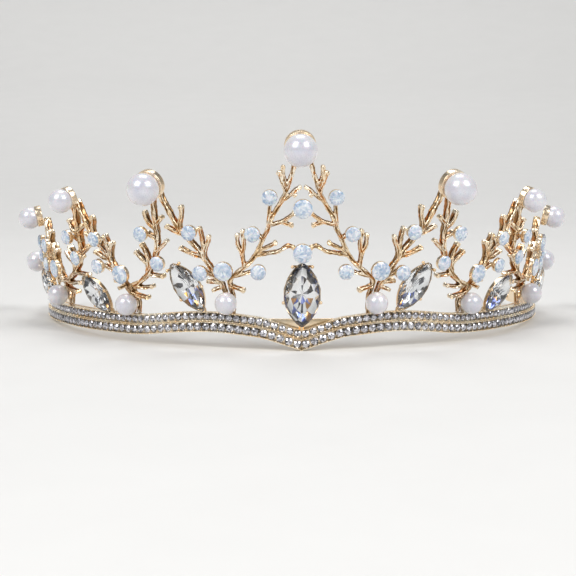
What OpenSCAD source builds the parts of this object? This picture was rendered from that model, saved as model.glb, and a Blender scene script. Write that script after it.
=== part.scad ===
// A bridal crown: cast twig arches with pearls, opals and marquise crystals,
// standing on a band of two rows of small stones.
// Millimetres, +Z up. The origin is the centre of the base ring, level with the
// lower edge of the band. The front of the crown faces -Y, and every azimuth is
// measured from the front, positive towards +X.

/* [Base ring] */
// Radius of the base ring at the middle of the plain inner strip
ring_r = 71.2; // [58:0.1:86]
// Azimuth of each end of the band
band_end = 98; // [95:1:104]
// Height of the plain inner strip
strip_h = 3.6; // [3:0.1:4.4]
// Thickness of the plain inner strip
strip_t = 1; // [0.8:0.05:1.3]

/* [Stone band] */
// Height of the lower channel
lower_h = 2.8; // [2.3:0.1:3.4]
// Height of the upper channel
upper_h = 2.6; // [2.1:0.1:3.2]
// Depth of both channels, from back to front
channel_d = 2; // [1.8:0.1:2.6]
// Wall of both channels
channel_t = 0.3; // [0.25:0.05:0.4]
// How far the lower channel stands in front of the upper one
lower_proud = 0.3; // [0:0.1:0.5]
// Gap between neighbouring stones of a row
stone_gap = 0.2; // [0.15:0.05:0.6]
// Rise of the band at its two swells
swell_h = 1.9; // [0:0.1:2.6]
// Azimuth of the top of each swell
swell_az = 20; // [16:1:22]
// Drop of the point at the front of the band
point_drop = 2.7; // [0:0.1:3.2]
// Azimuth at which the point starts
point_az = 9; // [7:1:12]

/* [Arches] */
// Azimuths of the knots where neighbouring arches meet
knot_az = [15.4, 38.7, 65, 90]; // [10:0.1:92]
// Heights of the knots above the level stretch of the band
knot_z = [9.55, 8.55, 7.55, 7.55]; // [5.5:0.05:12]
// Azimuths of the peaks, the front one first
peak_az = [0, 28.6, 50.5, 80]; // [0:0.1:84]
// Heights of the peaks above the band, at the middle of their pearl seats
peak_z = [46.85, 36.55, 32.15, 24.75]; // [20:0.05:58]
// Outward lean of the arches at the front
lean_front = 13; // [8:0.5:16]
// Outward lean of the arches at the sides
lean_side = 6; // [3:0.5:12]
// Width of a stem
stem_w = 1.5; // [1.2:0.05:1.8]
// Width of a side twig
twig_w = 1.15; // [0.9:0.05:1.4]
// Depth of the stems and twigs, from back to ridge
twig_d = 2.2; // [1.8:0.1:2.8]

/* [Pearls] */
// Diameter of the pearls on the front peak and the two beside it
large_pearl_d = 8.6; // [7:0.1:10.4]
// Diameter of the pearls on the other peaks
medium_pearl_d = 6.6; // [5.5:0.1:8]
// Diameter of the pearls on the last knots
small_pearl_d = 6.4; // [5.2:0.1:7.6]
// Diameter of the pearls in front of the other knots
lower_pearl_d = 6; // [5:0.1:7.2]
// How far the front pearl sits to the left of the middle of its seat
front_shift = 0.9; // [0:0.1:1.2]
// Diameter of the pegs that the pearls are glued on
peg_d = 0.9; // [0.7:0.1:1.2]
// Depth of the hole in a pearl
peg_depth = 3; // [2:0.1:3.4]

/* [Opals] */
// Diameter of the opals in the knots and in the front arch
large_opal_d = 5.2; // [4.4:0.1:6]
// Diameter of the opals on the twigs
small_opal_d = 4.2; // [3.5:0.1:4.8]
// Height of an opal's cup
cup_h = 1.4; // [1.2:0.1:1.8]
// Wall of an opal's cup
cup_t = 0.3; // [0.25:0.05:0.4]

/* [Marquise crystals] */
// Lengths of the crystals, the front one first
crystal_l = [18, 15.4, 13.2, 12.4]; // [10:0.1:19]
// Widths of the crystals
crystal_w = [10, 7.4, 6.8, 6.4]; // [5:0.1:10.5]
// Azimuths of their lower tips
crystal_az = [0, 20.1, 43.7, 70]; // [0:0.1:72]
// Their tilts from upright
crystal_tilt = [0, 32, 43, 43]; // [0:1:48]
// Heights of the lower tips above the band
crystal_lift = [1.45, 0.75, 0.75, 0.75]; // [0.7:0.05:1.8]
// Wall of a crystal's setting
setting_t = 0.45; // [0.35:0.05:0.6]

/* [End loops] */
// Diameter of the hole for a ribbon or a hairpin
loop_hole_d = 3; // [2.4:0.1:3.4]
// Thickness of a loop's tab
loop_t = 0.9; // [0.7:0.1:1.2]

/* [Hidden] */
braze_gap = 0.05;   // left between pieces that are brazed together
set_gap = 0.06;     // round a stone in its setting, on each side
glue_gap = 0.05;    // round a peg in a pearl, on each side
row_gap = 0.15;     // between a band stone and its channel, in all
fine = 64;          // facets of the round pieces

SIDES = ["left", "right"];
function side_of(name) = name == "left" ? -1 : 1;
BRANCHES = ["front", "arch1_near", "arch1_far", "arch2_near", "arch2_far",
            "arch3_near", "arch3_far"];
PEARLS = ["arch1", "arch2", "arch3", "end"];
ARCHES = ["arch1", "arch2", "arch3"];

gold = "#DDB27C";
pearl_white = "#F1ECF0";
opal_blue = "#CFE1F0";
crystal_clear = "#DDE8EE";

// ---- Band ----------------------------------------------------------------

strip_z = swell_h + 0.1;    // the strip is hidden behind the band, but for the point
strip_in = ring_r - strip_t / 2;
strip_out = ring_r + strip_t / 2;
channel_in = strip_out + braze_gap;
upper_out = channel_in + channel_d;
lower_out = upper_out + lower_proud;
upper_z = lower_h + braze_gap;
band_h = upper_z + upper_h;
wave_step = 2;      // azimuth between the corners of the waved edges
flat_az = 60;       // the band is level from well before this azimuth

// Height of the band's lower edge: a swell on each side and a point at the front
function band_z(az) =
    (abs(az) < 2 * swell_az ? swell_h * (1 - cos(180 * az / swell_az)) / 2 : 0)
    - point_drop * pow(max(0, 1 - abs(az) / point_az), 1.4);
function band_top(az) = band_z(az) + band_h;

// Revolved wall between two radii, from one azimuth to another
module ring_wall(r_in, r_out, z, h, from_az, to_az)
    rotate_extrude(start = from_az - 90, angle = to_az - from_az, $fn = 4 * fine)
        translate([r_in, z]) square([r_out - r_in, h]);

// Slab with the band's waved outline, between two heights above its lower edge
module waved_slab(z_from, z_to) {
    reach = 2 * swell_az + 2 * wave_step;
    stations = [for (az = [0 : wave_step : reach]) az];
    edge = [for (az = stations) [max(braze_gap / 2, channel_in * sin(az)), band_z(az)]];
    tail = [[ring_r, 0]];
    lower = concat(edge, tail);
    n = len(lower);
    rotate([90, 0, 0]) linear_extrude(height = lower_out + 5) polygon(concat(
        [for (p = lower) [p[0], p[1] + z_from]],
        [for (i = [n - 1 : -1 : 0]) [lower[i][0], lower[i][1] + z_to]]));
}

// Right half of a waved wall: the waved front stretch and the level side stretch
module waved_wall(r_in, r_out, z_from, z_to, past_end = 0) {
    intersection() {
        ring_wall(r_in, r_out, -8, 24, 0, flat_az);
        waved_slab(z_from, z_to);
    }
    ring_wall(r_in, r_out, z_from, z_to - z_from, flat_az, band_end + past_end);
}

module channel(side, z, h, r_out)
    mirror([side < 0 ? 1 : 0, 0, 0]) difference() {
        waved_wall(channel_in, r_out, z, z + h);
        waved_wall(channel_in + channel_t, r_out + 1, z + channel_t, z + h - channel_t, 1);
    }

module inner_strip() color(gold)
    ring_wall(strip_in, strip_out, strip_z, strip_h, -band_end, band_end);

module lower_channel(side) color(gold) channel(side, 0, lower_h, lower_out);
module upper_channel(side) color(gold) channel(side, upper_z, upper_h, upper_out);

// Small brilliant-cut stone, girdle at z = 0, table up
module band_stone(d) {
    girdle = 0.15;
    rotate_extrude($fn = fine / 2) polygon([[0, -0.42 * d], [0.08 * d, -0.42 * d],
        [d / 2, 0], [d / 2, girdle], [0.3 * d, girdle + 0.17 * d], [0, girdle + 0.17 * d]]);
}

module stone_row(side, z, h, r_out) {
    d = h - 2 * channel_t - row_gap;
    seat_r = r_out - 0.3 * d;
    pitch_az = (d + stone_gap) / (seat_r * PI / 180);
    count = floor((band_end - 0.5) / pitch_az);
    for (i = [0 : count - 1]) {
        az = side * (i + 0.5) * pitch_az;
        rotate([0, 0, az]) translate([0, -seat_r, z + h / 2 + band_z(az)])
            rotate([90, 0, 0]) band_stone(d);
    }
}

module lower_row_stones(side) color(crystal_clear) stone_row(side, 0, lower_h, lower_out);
module upper_row_stones(side) color(crystal_clear)
    stone_row(side, upper_z, upper_h, upper_out);

// ---- The leaning face that the arches lie in -------------------------------

function ease(t) = let (c = min(1, max(0, t))) c * c * (3 - 2 * c);
function lean_at(az) = lean_front + (lean_side - lean_front) * ease((abs(az) - 45) / 35);
function face_r(az, z) = ring_r + z * tan(lean_at(az));
function outward(az) = let (l = lean_at(az))
    [sin(az) * cos(l), -cos(az) * cos(l), -sin(l)];
function round_point(az, z, r) = [r * sin(az), -r * cos(az), z];
function arc_az(length) = length / (ring_r * PI / 180);

// Places children on the face: x to the right, y up the face, z outward
module on_face(az, z, off = 0, tip = 0)
    translate(round_point(az, z, face_r(az, z)) + off * outward(az))
        rotate([0, 0, az]) rotate([90 + lean_at(az) + tip, 0, 0]) children();

// ---- Branches --------------------------------------------------------------
// A branch is half an arch: a stem from the band through a knot to a peak, and its
// side twigs. A route's points are [across, up], in hundredths of the way from the
// leg to the peak. An opal's two points are where its twig leaves the stem, and its
// own place.

FRONT_STEM = [[0, 2], [8, 7], [20, 12], [31, 17], [41, 25], [48, 33], [55, 40], [60, 48],
              [69, 56], [78, 65], [83, 73], [88, 82], [93, 96]];
FRONT_TWIGS = [
    [[21, 12], [19, 22], [14, 29], [14, 37]], [[19, 21], [22, 28], [21, 40]],
    [[78, 66], [74, 73], [69, 81]], [[79, 70], [76, 77], [75, 85]],
    [[77, 61], [84, 64], [92, 68], [97, 70]], [[86, 66], [92, 63]],
    [[60, 43], [76, 46], [91, 52]], [[73, 45], [89, 42]], [[41, 24], [57, 28], [67, 31]],
    [[37, 21], [56, 23], [68, 24], [81, 28], [91, 26]], [[0, -1], [22, -5]]];
FRONT_OPALS = [[[48, 33], [36, 38]], [[55, 42], [59, 64]], [[8, 6], [42, 11]]];
MIDDLE_OPALS = [24.5, 56];

NEAR_STEM = [[1, 0], [7, 5], [16, 14], [25, 23], [38, 35], [51, 44], [64, 52], [74, 63],
             [82, 74], [89, 83], [95, 96]];
NEAR_TWIGS = [
    [[25, 23], [27, 31], [19, 43], [18, 49]], [[27, 30], [28, 38], [30, 50], [34, 57]],
    [[64, 51], [64, 59], [59, 71], [60, 78]], [[64, 49], [91, 57]],
    [[32, 27], [50, 30], [70, 36]], [[1, 1], [28, 3]], [[1, -3], [20, -7]]];
NEAR_OPALS = [[[50, 43], [44, 53]], [[8, 6], [32, 13]]];
HIGH_NEAR_OPALS = [[[50, 43], [45, 53]], [[14, 11], [49, 21]]];

FAR_STEM = [[0, -3], [21, 1], [37, 5], [55, 12], [67, 19], [74, 25], [83, 33], [89, 42],
            [91, 52], [90, 65], [91, 78], [92, 96]];
FAR_TWIGS = [
    [[54, 12], [56, 19], [46, 25], [26, 33]], [[60, 16], [61, 25], [56, 33], [46, 41]],
    [[83, 33], [90, 35], [115, 45]], [[53, 10], [97, 9]], [[91, 55], [74, 61], [66, 73]],
    [[91, 59], [102, 64], [109, 68]], [[10, -2], [36, -3], [66, -1]],
    [[0, -9], [23, -12], [48, -13]]];
FAR_OPALS = [[[90, 45], [62, 52]], [[72, 24], [94, 24]]];
HIGH_FAR_OPALS = [[[91, 48], [72, 54]], [[75, 26], [89, 31]]];

// Arch that a branch belongs to, the knot it rises from, and its three lists
function branch_arch(b) = b == 0 ? 0 : ceil(b / 2);
function branch_knot(b) = b == 0 ? 0 : floor(b / 2);
function knot_height(k) = band_h + knot_z[k];
function peak_height(a) = band_h + peak_z[a];
function branch_kind(b) = b == 0 ? [FRONT_STEM, FRONT_TWIGS, FRONT_OPALS]
    : b % 2 == 1 ? [NEAR_STEM, NEAR_TWIGS, b == 1 ? NEAR_OPALS : HIGH_NEAR_OPALS]
    : [FAR_STEM, FAR_TWIGS, b == 2 ? FAR_OPALS : HIGH_FAR_OPALS];

// The two legs of a knot stand side by side on the inner strip, behind its pearl
foot_off = stem_w / 2 + 0.2;
function leg_az(b) = let (k = branch_knot(b))
    knot_az[k] + sign(peak_az[branch_arch(b)] - knot_az[k]) * arc_az(foot_off);
function lower_pearl_z(az) = band_top(az) + 0.43 * lower_pearl_d + 3 * braze_gap;

// Stations are [azimuth, height, radius, depth]
function leg(b, side) = let (az = leg_az(b))
    [for (z = [strip_z + strip_h + braze_gap, lower_pearl_z(az) + 0.2 * lower_pearl_d])
        [side * az, z, ring_r, strip_t]];
function place(b, side, p) = let (k = branch_knot(b), a = branch_arch(b),
    az = leg_az(b) + (peak_az[a] - leg_az(b)) * p[0] / 100,
    z = knot_height(k) + (peak_height(a) - knot_height(k)) * p[1] / 100)
    [side * az, z, face_r(az, z), twig_d];

// Section of a stem or twig: a flat back and a bevelled front, one unit each way
SECTION = [[-0.5, -0.5], [0.5, -0.5], [0.5, 0.1], [0.22, 0.5], [-0.22, 0.5], [-0.5, 0.1]];

function unit(v) = v / norm(v);
function section_at(p, along, out, w, d) = let (across = unit(cross(along, out)),
    front = cross(across, along))
    [for (q = SECTION) p + across * q[0] * w + front * q[1] * d];

// Sections along a list of stations, with a rounded end
function sections(route, w_from, w_to) = let (n = len(route) - 1,
    pts = [for (p = route) round_point(p[0], p[1], p[2])],
    dirs = [for (i = [0 : n]) unit(pts[min(n, i + 1)] - pts[max(0, i - 1)])])
    concat(
        [for (i = [0 : n]) section_at(pts[i], dirs[i], outward(route[i][0]),
            w_from + (w_to - w_from) * i / n, route[i][3])],
        [section_at(pts[n] + dirs[n] * 0.35 * w_to, dirs[n], outward(route[n][0]),
            0.6 * w_to, 0.8 * route[n][3])]);

// One stretch between neighbouring sections, as the hull of their corners
module stretch(a, b) {
    n = len(a);
    hull() polyhedron(concat(a, b), concat(
        [[for (i = [0 : n - 1]) i], [for (i = [n - 1 : -1 : 0]) n + i]],
        [for (i = [0 : n - 1]) [i, n + i, n + (i + 1) % n, (i + 1) % n]]));
}

module twig(route, w_from, w_to) {
    s = sections(route, w_from, w_to);
    for (i = [0 : len(s) - 2]) stretch(s[i], s[i + 1]);
}

module branch(b, side) color(gold) {
    kind = branch_kind(b);
    twig(concat(leg(b, side), [for (p = kind[0]) place(b, side, p)]),
         stem_w, stem_w * 0.85);
    for (t = concat(kind[1], kind[2]))
        twig([for (p = t) place(b, side, p)], twig_w, twig_w * 1.1);
}

// ---- Pearls ----------------------------------------------------------------

seat_tip = 6;       // the seats look down a little more than the arches lean
seat_inset = 0.2;   // a seat's edge is this far inside its pearl's outline
seat_disc = 1.8;    // thickness of a seat at its rim
seat_dish = 1.5;    // depth of the dish that the pearl sits in
front_face = twig_d / 2 + braze_gap;    // where a piece stands on the branches

function seat_r(d) = d / 2 - seat_inset;
// Distance of the back of a tipped seat from the face, so that its low edge is clear
function seat_off(d) = front_face + seat_r(d) * sin(seat_tip);
function pearl_rise(d) = seat_disc - seat_dish + d / 2 + glue_gap;

module pearl_seat(d, shift = 0) {
    difference() {
        cylinder(h = seat_disc, r = seat_r(d), $fn = fine);
        translate([shift, 0, pearl_rise(d)]) sphere(d = d + 2 * glue_gap, $fn = fine);
    }
    translate([shift, 0, (seat_disc - seat_dish) / 2])
        cylinder(h = (seat_disc - seat_dish) / 2 + peg_depth, d = peg_d, $fn = fine / 2);
}

module pearl(d, shift = 0) translate([shift, 0, pearl_rise(d)]) difference() {
    sphere(d = d, $fn = 2 * fine);
    translate([0, 0, -d / 2 - 1])
        cylinder(h = peg_depth + 1 + glue_gap, d = peg_d + 2 * glue_gap, $fn = fine / 2);
}

// Places a pearl and its seat at a peak, or at the last knot
module at_peak(a, side, d)
    on_face(side * peak_az[a], peak_height(a), seat_off(d), seat_tip) children();
module at_end(side)
    on_face(side * knot_az[3], knot_height(3) + small_pearl_d / 2, seat_off(small_pearl_d),
            seat_tip) children();

module large_pearl_seats() color(gold) {
    at_peak(0, 1, large_pearl_d) pearl_seat(large_pearl_d, -front_shift);
    for (side = [-1, 1]) at_peak(1, side, large_pearl_d) pearl_seat(large_pearl_d);
}
module medium_pearl_seats() color(gold) for (side = [-1, 1], a = [2, 3])
    at_peak(a, side, medium_pearl_d) pearl_seat(medium_pearl_d);
module small_pearl_seats() color(gold) for (side = [-1, 1])
    at_end(side) pearl_seat(small_pearl_d);

module front_pearl() color(pearl_white)
    at_peak(0, 1, large_pearl_d) pearl(large_pearl_d, -front_shift);
module arch_pearl(a, side) color(pearl_white) {
    d = a == 1 ? large_pearl_d : medium_pearl_d;
    at_peak(a, side, d) pearl(d);
}
module end_pearl(side) color(pearl_white) at_end(side) pearl(small_pearl_d);

// Pearl in front of a knot's two legs, just above the band, on a short post
post_pad = 0.7;
module at_lower(k, side) {
    az = side * knot_az[k];
    rotate([0, 0, az]) translate([0, -strip_out - braze_gap, lower_pearl_z(az)])
        rotate([90, 0, 0]) children();
}
module lower_pearl_posts() color(gold) for (side = [-1, 1], k = [0 : 2])
    at_lower(k, side) {
        cylinder(h = post_pad, r = foot_off + stem_w / 3, $fn = fine);
        cylinder(h = post_pad + peg_depth, d = peg_d, $fn = fine / 2);
    }
module lower_pearls() color(pearl_white) for (side = [-1, 1], k = [0 : 2])
    at_lower(k, side) translate([0, 0, post_pad + glue_gap + lower_pearl_d / 2])
        difference() {
            sphere(d = lower_pearl_d, $fn = 2 * fine);
            translate([0, 0, -lower_pearl_d / 2 - 1])
                cylinder(h = peg_depth + 1 + glue_gap, d = peg_d + 2 * glue_gap,
                         $fn = fine / 2);
        }

// ---- Opals -----------------------------------------------------------------

cup_floor = 0.4;
cup_in = 0.1;       // a cup's wall stands this far inside its opal's edge
crotch_lift = [4.2, 3.2, 3.2];  // heights of the knots' opals above the knots

// Turned cup, its wall hidden under the stone's edge
module opal_cup(d) rotate_extrude($fn = fine) polygon([[0, 0], [d / 2 - 0.5, 0],
    [d / 2 - cup_in, cup_floor], [d / 2 - cup_in, cup_h], [d / 2 - cup_in - cup_t, cup_h],
    [d / 2 - cup_in - cup_t, cup_floor], [0, cup_floor]]);

// Stone whose foot fills the cup and whose edge lies on the cup's rim
module opal(d) translate([0, 0, cup_floor + set_gap]) rotate_extrude($fn = fine)
    let (foot_r = d / 2 - cup_in - cup_t - set_gap, rim = cup_h - cup_floor)
        polygon([[0, 0], [foot_r, 0], [foot_r, rim], [d / 2, rim], [d / 2, rim + 0.3],
            [0.4 * d, rim + 0.65], [0.2 * d, rim + 0.9], [0, rim + 0.9]]);

module at_large_opals() {
    for (h = MIDDLE_OPALS)
        on_face(0, knot_height(0) + (peak_height(0) - knot_height(0)) * h / 100, front_face)
            children();
    for (side = [-1, 1], k = [0 : 2])
        on_face(side * knot_az[k], knot_height(k) + crotch_lift[k], front_face) children();
}
module at_small_opals() for (side = [-1, 1], b = [0 : 6], p = branch_kind(b)[2]) {
    q = place(b, side, p[1]);
    on_face(q[0], q[1], front_face) children();
}
module large_opal_cups() color(gold) at_large_opals() opal_cup(large_opal_d);
module small_opal_cups() color(gold) at_small_opals() opal_cup(small_opal_d);
module large_opals() color(opal_blue) at_large_opals() opal(large_opal_d);
module small_opals() color(opal_blue) at_small_opals() opal(small_opal_d);

// ---- Marquise crystals -------------------------------------------------------

girdle_z = 2.2;     // height of a crystal's widest line above the face
girdle_t = 0.4;     // thickness of its edge
crown_z = 1.3;      // height of the cut above the edge
culet_z = 1.9;      // depth of the cut below the edge
setting_in = 0.1;   // the wall under a crystal stands this far inside its outline
claw_r = 0.42;
claw_y = [-0.3, 0.8];   // places of the claws, as shares of the half length
claw_foot = 1.3;    // reach of a claw's foot towards the wall

// Radius of the two arcs that bound a marquise, and the distance of their centres
function arc_r(a) = (pow(crystal_l[a], 2) + pow(crystal_w[a], 2)) / (4 * crystal_w[a]);
function arc_x(a) = arc_r(a) - crystal_w[a] / 2;

// Two round discs of a cut profile, which cross in the marquise's outline
module marquise(a, profile) intersection_for (side = [-1, 1])
    translate([side * arc_x(a), 0, 0]) rotate([0, 0, 90])
        rotate_extrude($fn = 4 * fine) polygon(profile);

module marquise_prism(a, grow, z, h)
    marquise(a, [[0, z], [arc_r(a) + grow, z], [arc_r(a) + grow, z + h], [0, z + h]]);

module crystal_body(a, grow) {
    r = arc_r(a) + grow;
    w = crystal_w[a];
    marquise(a, [[0, girdle_z - culet_z], [r - 0.42 * w, girdle_z - culet_z], [r, girdle_z],
        [r, girdle_z + girdle_t], [r - 0.22 * w, girdle_z + girdle_t + crown_z],
        [0, girdle_z + girdle_t + crown_z]]);
}

// Local x of the outline at a height y, grown by a margin
function outline_x(a, y, grow) = sqrt(pow(arc_r(a) + grow, 2) - y * y) - arc_x(a);

// Four claws round the outline, each a hair outside the stone, on a foot that runs
// in to the wall under it
module claws(a) {
    foot_w = 1.4 * claw_r;
    for (y = claw_y * crystal_l[a] / 2, sx = [-1, 1])
        translate([sx * outline_x(a, y, 2 * set_gap + claw_r), y, 0]) {
            cylinder(h = girdle_z + girdle_t, r = claw_r, $fn = fine / 2);
            translate([0, 0, girdle_z + girdle_t]) sphere(r = claw_r, $fn = fine / 2);
            translate([sx > 0 ? -claw_foot : 0, -foot_w / 2, 0])
                cube([claw_foot, foot_w, girdle_z / 2]);
        }
}

// Puts the lower tip above the band, and turns the crystal about it
module at_crystal(a, side) {
    az = side * crystal_az[a];
    z = band_top(crystal_az[a]) + crystal_lift[a];
    on_face(az, z) rotate([0, 0, -side * crystal_tilt[a]])
        translate([0, crystal_l[a] / 2, 0]) children();
}
// Short post from the band up into the lower end of a setting
module setting_post(a, side) {
    az = side * crystal_az[a];
    z = band_top(crystal_az[a]) + braze_gap;
    post_w = 1;
    post_d = 1.2;
    rotate([0, 0, az]) translate([-post_w / 2, -face_r(az, z) - 1.1 - post_d / 2, z])
        cube([post_w, post_d, crystal_lift[a] + 1.6]);
}
module crystal_setting(a, side) difference() {
    union() {
        at_crystal(a, side) {
            marquise_prism(a, -setting_in, 0, girdle_z);
            claws(a);
        }
        setting_post(a, side);
    }
    at_crystal(a, side) {
        crystal_body(a, set_gap);
        marquise_prism(a, -setting_in - 2 * setting_t, -1, girdle_z + 2);
    }
}
module front_crystal_setting() color(gold) crystal_setting(0, 1);
module crystal_settings(a) color(gold) for (side = [-1, 1]) crystal_setting(a, side);
module crystal(a, side) color(crystal_clear) at_crystal(a, side) crystal_body(a, 0);

// ---- End loops ---------------------------------------------------------------
// A flat tab lapped on the inside of each end of the strip, with a hole past the end

loop_lap = 4;
loop_rim = 0.9;
loop_w = loop_hole_d + 2 * loop_rim;
loop_reach = loop_hole_d / 2 + 1.6;     // from the strip's end to the hole's axis
lap_sag = strip_in - sqrt(pow(strip_in, 2) - pow(loop_lap, 2));
loop_y = strip_in - lap_sag - braze_gap;    // distance of the tab's front from the axis

module end_loop(side) color(gold)
    mirror([side < 0 ? 1 : 0, 0, 0]) rotate([0, 0, band_end])
        translate([0, -loop_y + loop_t, strip_z + strip_h / 2]) rotate([90, 0, 0]) difference() {
            union() {
                translate([-loop_lap, -loop_w / 2, 0])
                    cube([loop_lap + loop_reach, loop_w, loop_t]);
                translate([loop_reach, 0, 0])
                    cylinder(h = loop_t, d = loop_w, $fn = fine);
            }
            translate([loop_reach, 0, -1])
                cylinder(h = loop_t + 2, d = loop_hole_d, $fn = fine);
        }

// ---- Pieces ------------------------------------------------------------------

inner_strip();
for (s = SIDES) {
    lower_channel(side_of(s));
    upper_channel(side_of(s));
    lower_row_stones(side_of(s));
    upper_row_stones(side_of(s));
    for (b = [0 : len(BRANCHES) - 1])
        branch(b, side_of(s));
    for (a = [1 : 3])
        arch_pearl(a, side_of(s));
    end_pearl(side_of(s));
    for (a = [1 : 3])
        crystal(a, side_of(s));
    end_loop(side_of(s));
}
large_pearl_seats();
medium_pearl_seats();
small_pearl_seats();
front_pearl();
lower_pearl_posts();
lower_pearls();
large_opal_cups();
small_opal_cups();
large_opals();
small_opals();
front_crystal_setting();
for (a = [1 : 3])
    crystal_settings(a);
crystal(0, 1);  // front_crystal
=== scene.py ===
import math
import bmesh
import bpy
import numpy as np
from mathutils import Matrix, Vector


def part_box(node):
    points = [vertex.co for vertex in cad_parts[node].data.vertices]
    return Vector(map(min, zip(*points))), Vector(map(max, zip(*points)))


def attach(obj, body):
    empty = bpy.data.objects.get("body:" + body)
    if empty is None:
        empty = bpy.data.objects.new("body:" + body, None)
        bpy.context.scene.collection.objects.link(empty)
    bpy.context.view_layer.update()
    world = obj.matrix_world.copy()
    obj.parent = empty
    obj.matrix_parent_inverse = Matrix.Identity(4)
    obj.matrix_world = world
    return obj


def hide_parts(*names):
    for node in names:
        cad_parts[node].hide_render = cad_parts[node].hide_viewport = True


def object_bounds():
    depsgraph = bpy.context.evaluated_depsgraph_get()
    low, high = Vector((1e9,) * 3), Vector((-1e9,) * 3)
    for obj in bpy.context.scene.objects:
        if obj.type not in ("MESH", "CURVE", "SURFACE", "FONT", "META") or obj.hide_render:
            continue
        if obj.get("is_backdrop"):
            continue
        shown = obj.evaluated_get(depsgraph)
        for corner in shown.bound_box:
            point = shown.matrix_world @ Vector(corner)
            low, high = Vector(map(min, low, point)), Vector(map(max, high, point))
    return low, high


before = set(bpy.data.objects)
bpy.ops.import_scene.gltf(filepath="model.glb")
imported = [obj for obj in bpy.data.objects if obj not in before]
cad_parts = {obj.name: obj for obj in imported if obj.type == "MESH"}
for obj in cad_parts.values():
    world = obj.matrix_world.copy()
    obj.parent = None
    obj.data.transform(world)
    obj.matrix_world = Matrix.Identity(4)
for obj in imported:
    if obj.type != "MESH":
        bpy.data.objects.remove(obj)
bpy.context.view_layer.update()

# ---- Inner strip -------------------------------------------------------------
# The ring that everything is brazed to: a flat brass strip rolled to a circle,
# open at the back, its edges tumbled round, then plated a pale gold.

MM = 0.001
SIDES = ("left", "right")
UP = np.array([0, 0, 1.0])
strip_low, strip_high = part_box("inner_strip")
strip_out = strip_high.x                    # outer radius, widest at 90 degrees
strip_t = 1.0 * MM
strip_round = 0.22 * MM
band_end = 98.0                             # azimuth of each end, from the front


def linear(code):
    """An sRGB hex colour as linear RGBA, by the sRGB curve."""
    c = np.array([int(code[i:i + 2], 16) for i in (1, 3, 5)]) / 255
    c = np.where(c <= 0.04045, c / 12.92, ((c + 0.055) / 1.055) ** 2.4)
    return (*c.tolist(), 1.0)


def add(tree, kind, values, links=()):
    """Adds a shader node with its properties, its inputs' values and its links."""
    made = tree.nodes.new("ShaderNode" + kind)
    for key, value in values.items():
        if isinstance(key, str) and hasattr(made, key):
            setattr(made, key, value)
        else:
            made.inputs[key].default_value = value
    for key, source in links:
        tree.links.new(source, made.inputs[key])
    return made


def unit(v):
    return v / np.linalg.norm(v, axis=-1, keepdims=True)


def around(az, z, r):
    """Points at azimuths in degrees from the front, heights and radii."""
    a = np.radians(az)
    return np.stack([r * np.sin(a), -r * np.cos(a), z + 0 * a], -1)


def grid_faces(rows, cols, first=0):
    """Quads of a grid of points laid row by row, whose columns close on themselves."""
    i = first + np.arange(rows - 1)[:, None] * cols
    j = np.arange(cols)[None, :]
    k = (j + 1) % cols
    return np.stack([i + j, i + k, i + cols + k, i + cols + j], -1).reshape(-1, 4)


def tube(points):
    """A closed tube: points is rows x columns x 3, and a fan shuts each end row."""
    rows, cols = points.shape[:2]
    ends = np.concatenate([points[:1].mean(1, keepdims=True).repeat(cols, 1), points,
                           points[-1:].mean(1, keepdims=True).repeat(cols, 1)])
    return ends.reshape(-1, 3), grid_faces(rows + 2, cols)


def together(solids):
    """Several (points, faces) as one."""
    start = np.cumsum([0] + [len(p) for p, f in solids[:-1]])
    return (np.concatenate([p for p, f in solids]),
            np.concatenate([f + s for (p, f), s in zip(solids, start)]))


def show(name, shape, material, nodes, crease=35):
    """Makes a piece in place of CAD nodes. Doubled corners are merged, faces turned
    outwards, and edges sharper than the crease angle stay sharp."""
    points, faces = shape
    mesh = bpy.data.meshes.new(name)
    mesh.from_pydata(points.tolist(), [], faces.tolist())
    work = bmesh.new()
    work.from_mesh(mesh)
    bmesh.ops.remove_doubles(work, verts=work.verts, dist=0.2e-6)
    bmesh.ops.dissolve_degenerate(work, edges=work.edges, dist=0.1e-6)
    bmesh.ops.recalc_face_normals(work, faces=work.faces)
    work.to_mesh(mesh)
    work.free()
    mesh.shade_smooth()
    mesh.set_sharp_from_angle(angle=math.radians(crease))
    mesh.materials.append(material)
    piece = bpy.data.objects.new(name, mesh)
    bpy.context.scene.collection.objects.link(piece)
    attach(piece, "root")
    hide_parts(*nodes)
    return piece


def rounded_bar(width, height, corner, steps=4):
    """Outline of a bar with quarter-round corners, width along x, height along y."""
    turn = np.linspace(0, math.pi / 2, steps + 1)
    arcs = []
    for quarter, (sx, sy) in enumerate([(1, 1), (-1, 1), (-1, -1), (1, -1)]):
        a = turn + quarter * math.pi / 2
        arcs.append(np.stack([sx * (width / 2 - corner) + corner * np.cos(a),
                              sy * (height / 2 - corner) + corner * np.sin(a)], -1))
    return np.concatenate(arcs)


def bare_material(name):
    """A material without nodes, its tree, and the place on the piece in its own axes."""
    material = bpy.data.materials.new(name)
    material.use_nodes = True
    tree = material.node_tree
    tree.nodes.clear()
    return material, tree, add(tree, "TexCoord", {}).outputs["Object"]


def noise(tree, place, grain, **values):
    """Noise whose bumps are about a grain across."""
    return add(tree, "TexNoise", {"Scale": 1 / grain, **values},
               [("Vector", place)]).outputs["Fac"]


def mapped(tree, value, start, end, low=0.0, high=1.0):
    """A value that runs from start to end, made to run from low to high and kept there."""
    return add(tree, "MapRange", {"From Min": start, "From Max": end, "To Min": low,
                                  "To Max": high}, [("Value", value)]).outputs[0]


def blend(tree, share, first, second):
    """Two colours mixed by a share. Each is a hex code or a node's output."""
    values, links = {"data_type": "RGBA"}, [(0, share)]
    for socket, colour in ((6, first), (7, second)):
        if isinstance(colour, str):
            values[socket] = linear(colour)
        else:
            links.append((socket, colour))
    return add(tree, "Mix", values, links).outputs[2]


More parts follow.
